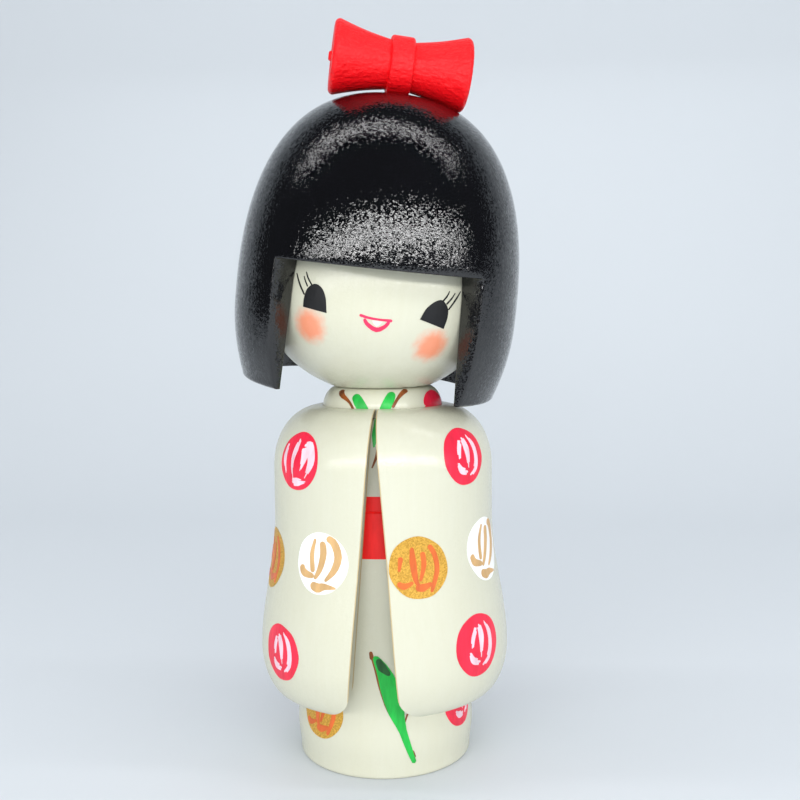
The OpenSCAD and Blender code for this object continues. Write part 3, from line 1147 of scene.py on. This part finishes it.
class Brushwork:
    """Collects brushwork by colour and joins it at the end."""

    def __init__(self, surface, prefix):
        self.surface = surface
        self.prefix = prefix
        self.films = {}

    def put_down(self, tone, piece, place, coat_number, thickness):
        bpy.ops.object.mode_set(mode="OBJECT")
        lay(piece, self.surface, place, 0.03 * MM + coat_number * thickness, thickness)
        self.films.setdefault(tone, []).append(piece)

    def strokes(self, tone, place, coat_number, thickness, lines):
        piece = blank(self.prefix + "_" + tone)
        for path, widths in lines:
            stroke(piece, path, widths)
        self.put_down(tone, piece, place, coat_number, thickness)

    def filled(self, tone, place, coat_number, thickness, outline, rings):
        piece = blank(self.prefix + "_" + tone)
        patch(piece, outline, rings)
        self.put_down(tone, piece, place, coat_number, thickness)

    def finish(self, body, finishes):
        for tone, pieces in self.films.items():
            joined = join(self.prefix + "_" + tone, pieces)
            material, slot_name = finishes[tone]
            paint_with(joined, material)
            hand_over(joined, body, slot_name)


WHITE_ON_RED = (
    [((-4.0, 3.6), (-4.7, 0.4), (-3.9, -2.9)), (0.7, 1.1, 0.4)],
    [((-0.2, 4.9), (-0.8, 2.4), (-1.4, -0.2), (-1.0, -3.8)), (0.8, 1.3, 0.8, 0.4)],
    [((1.8, 3.6), (3.3, 3.5), (4.6, 1.0), (4.2, -1.2), (2.9, -3.4)), (1.2, 2.0, 1.7, 1.2, 0.4)],
    [((2.3, 3.2), (2.4, 1.0), (1.4, -1.9)), (1.9, 1.6, 0.4)],
    [((-1.3, -4.6), (0.6, -4.4), (3.2, -4.1)), (1.5, 1.6, 0.5)],
)
WHITE_SPIRAL = (
    [((-0.9, 3.6), (-1.9, 1.6), (-2.3, -0.4)), (1.0, 1.0, 0.7)],
    [((-2.9, -1.2), (-1.9, -2.9), (0.2, -3.4)), (0.6, 1.3, 1.2)],
    [((-0.1, 4.2), (0.6, 1.6), (0.5, -2.6)), (1.1, 1.5, 0.5)],
    [((1.7, 4.6), (3.2, 2.6), (3.7, 0.0), (3.1, -2.6), (1.0, -4.3)), (0.4, 1.1, 1.1, 1.2, 1.1)],
)
SCROLL = (
    [((-3.8, 2.4), (-4.3, -0.6)), (1.1, 0.5)],
    [((-1.5, 4.3), (-1.3, 1.0), (-0.9, -2.3), (-0.2, -3.8)), (0.8, 1.5, 1.1, 0.6)],
    [((0.8, 3.2), (1.0, 0.4), (0.1, -2.8)), (1.1, 1.1, 0.6)],
    [((2.2, 4.5), (3.5, 2.4), (3.9, -1.0), (2.4, -5.2)), (1.0, 1.1, 1.1, 0.8)],
    [((-4.7, -2.9), (-3.4, -3.6), (-1.4, -2.9)), (1.0, 1.3, 0.6)],
    [((-1.0, -4.0), (0.6, -4.1), (2.7, -3.4)), (1.3, 1.6, 0.7)],
)
CURLS = (
    [((-1.5, 5.0), (-2.3, 1.7), (-1.9, -2.1)), (0.6, 1.1, 1.2)],
    [((0.3, 4.6), (0.6, 1.9), (-0.1, -1.2), (-1.3, -3.4)), (1.5, 1.6, 1.3, 0.7)],
    [((1.4, 5.5), (3.1, 4.4), (4.1, 1.6), (3.3, -1.2), (1.3, -3.6)), (1.3, 1.7, 1.7, 1.5, 0.6)],
    [((-5.1, -0.9), (-4.2, -2.4), (-1.5, -2.9)), (1.3, 1.7, 1.0)],
    [((-2.2, -4.6), (-0.3, -5.1), (1.2, -4.7), (4.0, -4.8)), (1.6, 2.0, 1.4, 0.4)],
)


def bristled(lines):
    """Splits each stroke into the marks of a dry brush, side by side with uneven ends."""
    marks = []
    for number, (path, widths) in enumerate(lines):
        for lane in (-1, 0, 1):
            uneven = math.sin(2.3 * number + 1.7 * lane)
            start = 0.02 + 0.06 * (1 + uneven) if lane else 0.0
            stop = 1.0 - (0.05 + 0.09 * (1 - uneven) if lane else 0.0)
            split = []
            for i in range(6):
                t = start + (stop - start) * i / 5
                here = along(path, t)
                ahead = along(path, min(t + 0.02, 1.0)) - along(path, max(t - 0.02, 0.0))
                ahead.normalize()
                place = t * (len(widths) - 1)
                k = min(int(place), len(widths) - 2)
                wide = widths[k] + (widths[k + 1] - widths[k]) * (place - k)
                spread = lane * wide * (0.33 + 0.07 * t)
                split.append((here.x - ahead.y * spread, here.y + ahead.x * spread))
            marks.append((split, [w * 0.4 for w in widths]))
    return marks


def swung(lines, degrees, scale=1.0):
    """The same strokes turned and scaled, as the same hand would vary them."""
    a = math.radians(degrees)
    c = math.cos(a) * scale
    n = math.sin(a) * scale
    return [([(x * c - y * n, x * n + y * c) for x, y in path], widths) for path, widths in lines]


# kind, bearing in degrees, height in millimetres, size, unevenness, strokes, turn of the strokes
COAT_BALLS = (
    ("red", -43.0, 68.0, 0.98, 0.012, WHITE_ON_RED, 0),
    ("red", 51.2, 68.8, 0.96, 0.02, WHITE_SPIRAL, 0),
    ("red", 141.0, 68.3, 1.0, 0.014, WHITE_ON_RED, -14),
    ("red", -134.0, 67.8, 1.0, 0.013, WHITE_SPIRAL, 12),
    ("gold", -68.5, 45.6, 1.06, 0.012, SCROLL, 8),
    ("white", -26.3, 47.5, 1.02, 0.010, CURLS, 0),
    ("gold", 22.0, 47.0, 1.02, 0.022, SCROLL, 0),
    ("white", 66.0, 48.2, 1.10, 0.014, CURLS, -6),
    ("gold", 111.0, 46.4, 1.0, 0.014, SCROLL, -10),
    ("white", 157.0, 47.6, 1.04, 0.012, CURLS, 10),
    ("gold", -157.0, 46.8, 1.0, 0.015, SCROLL, 14),
    ("white", -112.0, 47.4, 1.02, 0.012, CURLS, -12),
    ("red", -47.6, 27.3, 0.96, 0.03, WHITE_SPIRAL, 10),
    ("red", 51.2, 29.2, 1.06, 0.016, WHITE_SPIRAL, -4),
    ("red", 142.0, 28.0, 1.0, 0.014, WHITE_ON_RED, 8),
    ("red", -140.0, 28.6, 1.02, 0.014, WHITE_ON_RED, -10),
)
FOOT_BALLS = (
    ("gold", -40.5, 13.4, 0.98, 0.012, SCROLL, 0),
    ("red", 62.0, 13.6, 0.82, 0.016, WHITE_SPIRAL, 20),
    ("gold", 150.0, 13.2, 0.98, 0.012, SCROLL, 12),
    ("red", -132.0, 13.0, 1.0, 0.014, WHITE_ON_RED, 10),
)


def paint_balls(s, work, balls, radius):
    film = s.paint_thickness
    ball = s.ball_radius / MM
    for kind, degrees, height, size, uneven, lines, turn in balls:
        place = tangent(radius, degrees, height * MM)
        work.filled(kind, place, 0, film, disc(ball * size, uneven, degrees), 6)
        tone = {"red": "rose", "gold": "orange", "white": "tan"}[kind]
        lines = swung(lines, turn, 0.97 * size)
        work.strokes(tone, place, 1, film, bristled(lines) if kind == "red" else lines)


class KOKESHI_OT_thread_balls(bpy.types.Operator):
    """Paints the thread balls on the coat"""

    bl_idname = "kokeshi.thread_balls"
    bl_label = "Thread balls on the coat"

    def execute(self, context):
        s = context.scene.doll_sizes
        c = context.scene.doll_colours
        work = Brushwork(bpy.data.objects["turned_coat"], "coat_balls")
        paint_balls(s, work, COAT_BALLS, s.trunk_radius + s.sleeve_wall)
        work.finish("figure", paint_set(c))
        return {"FINISHED"}


def paint_set(c):
    return {
        "red": (brushed_paint("red_paint_balls", c.paint_red, 0.86, 1.15), "red_paint"),
        "white": (brushed_paint("white_paint_balls", c.paint_white, 0.93, 1.06), "white_paint"),
        "rose": (brushed_paint("rose_white_paint_strokes", c.paint_rose, 0.86, 1.25), "white_paint"),
        # deep: painted shade, a dark green laid on the top of the ribbon in place of shade.
        "deep": (brushed_paint("green_painted_shade_ribbon", c.ribbon_painted_shade, 0.6, 1.5), "green_paint"),
        "gold": (gold_paint(c), "gold_paint"),
        "orange": (brushed_paint("orange_paint_strokes", c.paint_orange, 0.8, 1.25), "orange_paint"),
        "tan": (brushed_paint("tan_paint_strokes", c.paint_tan, 0.85, 1.2), "gold_paint"),
        "green": (brushed_paint("green_paint_leaves", c.paint_green, 0.72, 1.2), "green_paint"),
        "brown": (brushed_paint("brown_paint_stems", c.paint_brown, 0.5, 1.8), "brown_paint"),
        "sash": (brushed_paint("red_paint_sash", c.paint_sash, 0.88, 1.12), "red_paint"),
        "black": (brushed_paint("black_paint_face", c.paint_black, 0.8, 1.5, 0.42, 0.00004), "black_paint"),
        "lips": (brushed_paint("red_paint_lips", c.paint_lips, 0.85, 1.3), "red_paint"),
        "blush": (brushed_paint("white_paint_lips", (0.88, 0.66, 0.62), 0.95, 1.05), "white_paint"),
    }


class KOKESHI_OT_body_paint(bpy.types.Operator):
    """Paints the sash, the crossed leaves at the neck, the hanging ribbon and the balls on the foot"""

    bl_idname = "kokeshi.body_paint"
    bl_label = "Paint on the body"

    def execute(self, context):
        s = context.scene.doll_sizes
        c = context.scene.doll_colours
        film = s.paint_thickness
        self.sash(s, c)
        work = Brushwork(bpy.data.objects["turned_body"], "body_paint")
        paint_balls(s, work, FOOT_BALLS, s.trunk_radius + 1 * MM)
        trunk = s.trunk_radius
        front = tangent(trunk, 8.0, 16 * MM)
        ribbon = ((-3.1, 11.0), (-1.2, 7.6), (0.3, 3.2), (1.4, -1.2), (2.5, -4.6), (4.0, -9.2), (5.2, -12.6))
        work.strokes("green", front, 1, film, [(ribbon, (1.2, 3.0, 4.3, 3.4, 1.7, 1.3, 0.9))])
        edge = [
            (((-3.7, 11.2), (-2.8, 8.0), (-2.0, 4.2), (-0.5, -0.4), (1.3, -4.0)), (0.7, 0.7, 0.6, 0.6, 0.4)),
            (((-3.9, 12.0), (-3.6, 10.2)), (0.7, 1.0)),
            (((4.5, -9.6), (5.2, -11.4)), (0.9, 0.8)),
            (((3.9, -1.4), (3.1, -3.6)), (0.4, 0.3)),
        ]
        work.strokes("brown", front, 0, film, edge)
        # Painted shade: a deep green stroke over the top of the ribbon darkens it as shade would.
        work.strokes("deep", front, 2, film, [(((-2.5, 10.4), (-1.5, 8.6), (0.1, 6.9)), (1.0, 1.9, 0.8))])
        self.collar(work, film)
        work.finish("figure", paint_set(c))
        return {"FINISHED"}

    def sash(self, s, c):
        r = s.trunk_radius
        low = 47.7 * MM
        high = 60.9 * MM
        groove = SASH_GROOVE
        film = s.paint_thickness / 2
        deep = r - 0.22 * MM
        outline = [
            (r - film, low), (r + 0.5 * film, low), (r + film, low + 0.15 * MM),
            (r + film, groove - 0.26 * MM), (deep + film, groove), (r + film, groove + 0.26 * MM),
            (r + film, high - 0.15 * MM), (r + 0.5 * film, high), (r - film, high),
            (r - film, groove + 0.24 * MM), (deep - film, groove), (r - film, groove - 0.24 * MM),
            (r - film, low),
        ]
        sash = turned("painted_sash", outline, 160)
        smooth(sash)
        paint_with(sash, paint_set(c)["sash"][0])
        hand_over(sash, "figure", "red_paint")

    def collar(self, work, film):
        """The crossed leaves and their stems, on the rounding under the neck and down the trunk."""
        slope = tangent(13.0 * MM, 0.0, 79.5 * MM, tilt=32)
        work.strokes("green", slope, 0, film, [
            (((-4.9, 2.6), (-4.0, 0.9), (-2.9, -0.9), (-1.5, -2.8)), (1.6, 2.1, 2.1, 1.6)),
            (((3.3, 3.0), (2.6, 1.0), (1.7, -0.9), (0.8, -2.8)), (1.6, 2.1, 2.1, 1.6)),
        ])
        work.strokes("brown", slope, 0, film, [
            (((-8.0, 4.9), (-7.8, 3.3), (-6.0, 1.1), (-4.9, -0.9)), (1.3, 1.1, 0.5, 0.5)),
            (((6.1, 4.3), (5.1, 2.8), (4.3, 1.4), (3.3, -0.5)), (1.3, 0.9, 0.6, 0.6)),
        ])
        down = tangent(15.5 * MM, 0.0, 73 * MM, tilt=24)
        work.strokes("green", down, 0, film, [
            (((0.6, 3.8), (0.7, 1.6), (0.2, -0.6), (-0.1, -3.2)), (1.6, 1.9, 1.5, 0.3)),
        ])
        work.strokes("brown", tangent(17 * MM, 2.0, 68.5 * MM, tilt=10), 0, film, [
            (((0.1, 6.4), (0.3, 3.4), (-0.1, 0.8), (-1.2, -2.0)), (0.5, 0.8, 0.7, 0.3)),
        ])
        ball = tangent(13.0 * MM, 66.0, 79 * MM, tilt=30)
        work.strokes("red", ball, 0, film, [
            (((-4.1, 0.3), (-2.2, 1.5), (0.6, 1.9), (3.0, 0.9), (4.0, -0.4)), (1.4, 2.3, 2.6, 2.3, 1.4)),
            (((-4.4, -1.0), (-1.5, -0.6), (1.5, -0.6), (4.2, -1.4)), (1.8, 2.8, 2.8, 2.0)),
        ])


class KOKESHI_OT_face(bpy.types.Operator):
    """Paints the eyes with their lashes and the small open mouth"""

    bl_idname = "kokeshi.face"
    bl_label = "Face"

    def execute(self, context):
        s = context.scene.doll_sizes
        c = context.scene.doll_colours
        film = s.paint_thickness
        work = Brushwork(bpy.data.objects["turned_head"], "face_paint")
        lean = head_place(s)
        out = s.head_radius
        right_eye = lean @ tangent(out, -29.0, 19.35 * MM)
        left_eye = lean @ tangent(out, 28.5, 18.85 * MM)
        mouth = lean @ tangent(out, 0.5, 16.15 * MM)
        shape = closed_shape([(-2.8, -1.9), (-2.75, -0.3), (-2.15, 1.8), (-0.5, 2.95), (1.3, 2.3), (2.4, 0.3),
                              (2.8, -2.5)])
        work.filled("black", right_eye, 0, film, shape, 4)
        shape = closed_shape([(-3.35, -1.35), (-2.2, 0.9), (-0.4, 2.35), (1.3, 2.75), (2.8, 1.3), (3.0, -0.6),
                              (2.5, -3.0)])
        work.filled("black", left_eye, 0, film, shape, 4)
        work.strokes("black", right_eye, 0, film, [
            (((-5.5, 4.6), (-4.3, 2.6), (-2.7, 0.5)), (0.22, 0.38, 0.34)),
            (((-3.4, 4.2), (-2.9, 3.3), (-2.1, 2.2)), (0.18, 0.26, 0.28)),
            (((-3.0, 5.1), (-2.2, 3.8), (-1.1, 2.6)), (0.2, 0.32, 0.3)),
        ])
        work.strokes("black", left_eye, 0, film, [
            (((3.0, 4.7), (2.4, 3.6), (1.3, 2.4)), (0.18, 0.32, 0.34)),
            (((4.5, 4.4), (3.6, 3.2), (2.4, 2.0)), (0.18, 0.32, 0.34)),
            (((6.0, 4.8), (4.7, 3.0), (3.0, 0.9)), (0.2, 0.36, 0.34)),
        ])
        work.strokes("lips", mouth, 0, film, [
            (((-3.3, 1.15), (-1.4, 0.75), (1.0, 0.6), (3.3, 0.6)), (0.55, 0.5, 0.4, 0.6)),
            (((-2.3, 0.5), (-1.5, -0.6), (0.3, -1.5), (1.9, -0.7), (2.7, 0.4)), (0.6, 0.8, 0.95, 0.75, 0.6)),
        ])
        work.filled("blush", mouth, 0, film,
                    [(-0.75, 0.3), (-0.3, -0.45), (0.3, -0.85), (0.9, -0.4), (1.4, 0.25), (0.3, 0.35)], 1)
        work.finish("head_group", paint_set(c))
        return {"FINISHED"}


def closed_shape(corners):
    """A curve through the corners that closes with a straight lower edge."""
    outline = []
    for i in range(28):
        spot = along(corners, i / 27)
        outline.append((spot.x, spot.y))
    first = outline[0]
    last = outline[-1]
    for i in range(1, 8):
        t = i / 8
        outline.append((last[0] + (first[0] - last[0]) * t, last[1] + (first[1] - last[1]) * t))
    return outline


# ---------------------------------------------------------------- stage


class KOKESHI_OT_stage(bpy.types.Operator):
    """Sets the paper sweep, the soft boxes and the camera"""

    bl_idname = "kokeshi.stage"
    bl_label = "Stage"

    def execute(self, context):
        c = context.scene.doll_colours
        self.paper(c)
        self.lights(context)
        self.camera(context)
        context.scene.view_settings.view_transform = "Standard"
        return {"FINISHED"}

    def paper(self, c):
        """A wide sheet that runs under the doll and curves up behind it."""
        nothing_selected()
        bpy.ops.mesh.primitive_plane_add(size=1)
        sweep = bpy.context.object
        sweep.name = "paper_sweep"
        bpy.ops.object.mode_set(mode="EDIT")
        bpy.ops.mesh.select_all(action="SELECT")
        bpy.ops.transform.resize(value=(4.0, 1.6, 1.0))
        bpy.ops.transform.translate(value=(0.0, -0.1, 0.0))
        pick(sweep, "EDGE", lambda e: min(v.co.y for v in e.verts) > 0.6)
        bpy.ops.mesh.extrude_region_move(TRANSFORM_OT_translate={"value": (0, 0, 1.6)})
        pick(sweep, "EDGE", lambda e: all(v.co.y > 0.6 and v.co.z < 0.1 for v in e.verts))
        bpy.ops.mesh.bevel(offset=0.45, segments=24, affect="EDGES")
        bpy.ops.object.mode_set(mode="OBJECT")
        smooth(sweep, 60)
        paint_with(sweep, backdrop_paper(c))

    def soft_box(self, context, name, place, target, size, power, tint, mirrored_in):
        data = bpy.data.lights.new(name, "AREA")
        data.shape = "RECTANGLE"
        data.size = size[0]
        data.size_y = size[1]
        data.energy = power
        data.color = tint
        lamp = bpy.data.objects.new(name, data)
        context.scene.collection.objects.link(lamp)
        lamp.visible_glossy = mirrored_in
        lamp.location = place
        aim = Vector(target) - Vector(place)
        lamp.rotation_euler = aim.to_track_quat("-Z", "Y").to_euler()

    def lights(self, context):
        world = bpy.data.worlds.new("studio_air")
        world.use_nodes = True
        nodes = world.node_tree.nodes
        links = world.node_tree.links
        air = nodes["Background"]
        air.inputs["Color"].default_value = (0.84, 0.92, 1.0, 1.0)
        ray = nodes.new("ShaderNodeLightPath")
        seen = nodes.new("ShaderNodeMath")
        seen.operation = "MULTIPLY_ADD"
        seen.inputs[1].default_value = AIR_SEEN - AIR_FELT
        seen.inputs[2].default_value = AIR_FELT
        dimmed = nodes.new("ShaderNodeMath")
        dimmed.operation = "MULTIPLY_ADD"
        dimmed.inputs[1].default_value = AIR_MIRRORED - AIR_FELT
        links.new(ray.outputs["Is Camera Ray"], seen.inputs[0])
        links.new(ray.outputs["Is Glossy Ray"], dimmed.inputs[0])
        links.new(seen.outputs["Value"], dimmed.inputs[2])
        links.new(dimmed.outputs["Value"], air.inputs["Strength"])
        context.scene.world = world
        middle = (0.0, 0.0, 0.09)
        cool = (0.95, 0.98, 1.0)
        wall = (0.0, 0.7, 0.25)
        floor = (0.0, -0.36, 0.0)
        white = (1.0, 1.0, 1.0)
        lamps = (
            ("front_box", (0.10, -0.62, 0.26), middle, (2.5, 0.06), 7.2, white, True),
            ("top_strip", (0.0, -0.12, 0.75), middle, (1.7, 0.016), 2.2, white, True),
            ("lens_fill", (0.0, -1.1, 0.12), middle, (0.4, 0.4), 2.6, cool, False),
            ("left_fill", (-0.75, -0.35, 0.30), middle, (0.5, 0.7), 0.7, cool, False),
            ("right_fill", (0.75, -0.35, 0.30), middle, (0.5, 0.7), 0.7, cool, False),
            ("paper_fill", (0.0, 0.15, 0.95), wall, (1.6, 0.3), 2.2, cool, False),
            ("back_fill", (0.0, 0.55, 0.5), middle, (0.7, 0.3), 0.5, cool, False),
            ("floor_fill", (0.0, -0.5, 0.5), floor, (0.9, 0.2), 1.1, cool, False),
        )
        for lamp in lamps:
            self.soft_box(context, *lamp)

    def camera(self, context):
        data = bpy.data.cameras.new("portrait_lens")
        data.sensor_width = 36.0
        data.lens = 45.0
        data.clip_start = 0.001
        camera = bpy.data.objects.new("portrait_camera", data)
        context.scene.collection.objects.link(camera)
        walk = Matrix.Rotation(math.radians(4.4), 4, "Z")
        spot = Matrix.Translation(walk @ Vector((0.00392, -0.2245, 0.0976)))
        pitch = Matrix.Rotation(math.radians(90 - 4.62), 4, "X")
        roll = Matrix.Rotation(math.radians(-0.48), 4, "Z")
        camera.matrix_world = spot @ walk @ pitch @ roll
        context.scene.camera = camera


class KOKESHI_PT_panel(bpy.types.Panel):
    """Lists the doll's pieces and their sizes"""

    bl_idname = "KOKESHI_PT_panel"
    bl_label = "Kokeshi"
    bl_space_type = "VIEW_3D"
    bl_region_type = "UI"
    bl_category = "Kokeshi"

    def draw(self, context):
        layout = self.layout
        for step in STEPS:
            layout.operator(step.bl_idname)
        for group in (context.scene.doll_sizes, context.scene.doll_colours):
            column = layout.column()
            for name in group.__annotations__:
                column.prop(group, name)


STEPS = (
    KOKESHI_OT_stage, KOKESHI_OT_body, KOKESHI_OT_coat, KOKESHI_OT_head, KOKESHI_OT_hair, KOKESHI_OT_bow,
    KOKESHI_OT_dowels, KOKESHI_OT_thread_balls, KOKESHI_OT_body_paint, KOKESHI_OT_face,
)
CLASSES = (DollSizes, DollColours) + STEPS + (KOKESHI_PT_panel,)


def register():
    for cls in CLASSES:
        bpy.utils.register_class(cls)
    bpy.types.Scene.doll_sizes = bpy.props.PointerProperty(type=DollSizes)
    bpy.types.Scene.doll_colours = bpy.props.PointerProperty(type=DollColours)


def unregister():
    del bpy.types.Scene.doll_colours
    del bpy.types.Scene.doll_sizes
    for cls in reversed(CLASSES):
        bpy.utils.unregister_class(cls)


def main():
    register()
    bpy.ops.kokeshi.stage()
    bpy.ops.kokeshi.body()
    bpy.ops.kokeshi.coat()
    bpy.ops.kokeshi.head()
    bpy.ops.kokeshi.hair()
    bpy.ops.kokeshi.bow()
    bpy.ops.kokeshi.dowels()
    bpy.ops.kokeshi.thread_balls()
    bpy.ops.kokeshi.body_paint()
    bpy.ops.kokeshi.face()


if __name__ == "__main__":
    main()
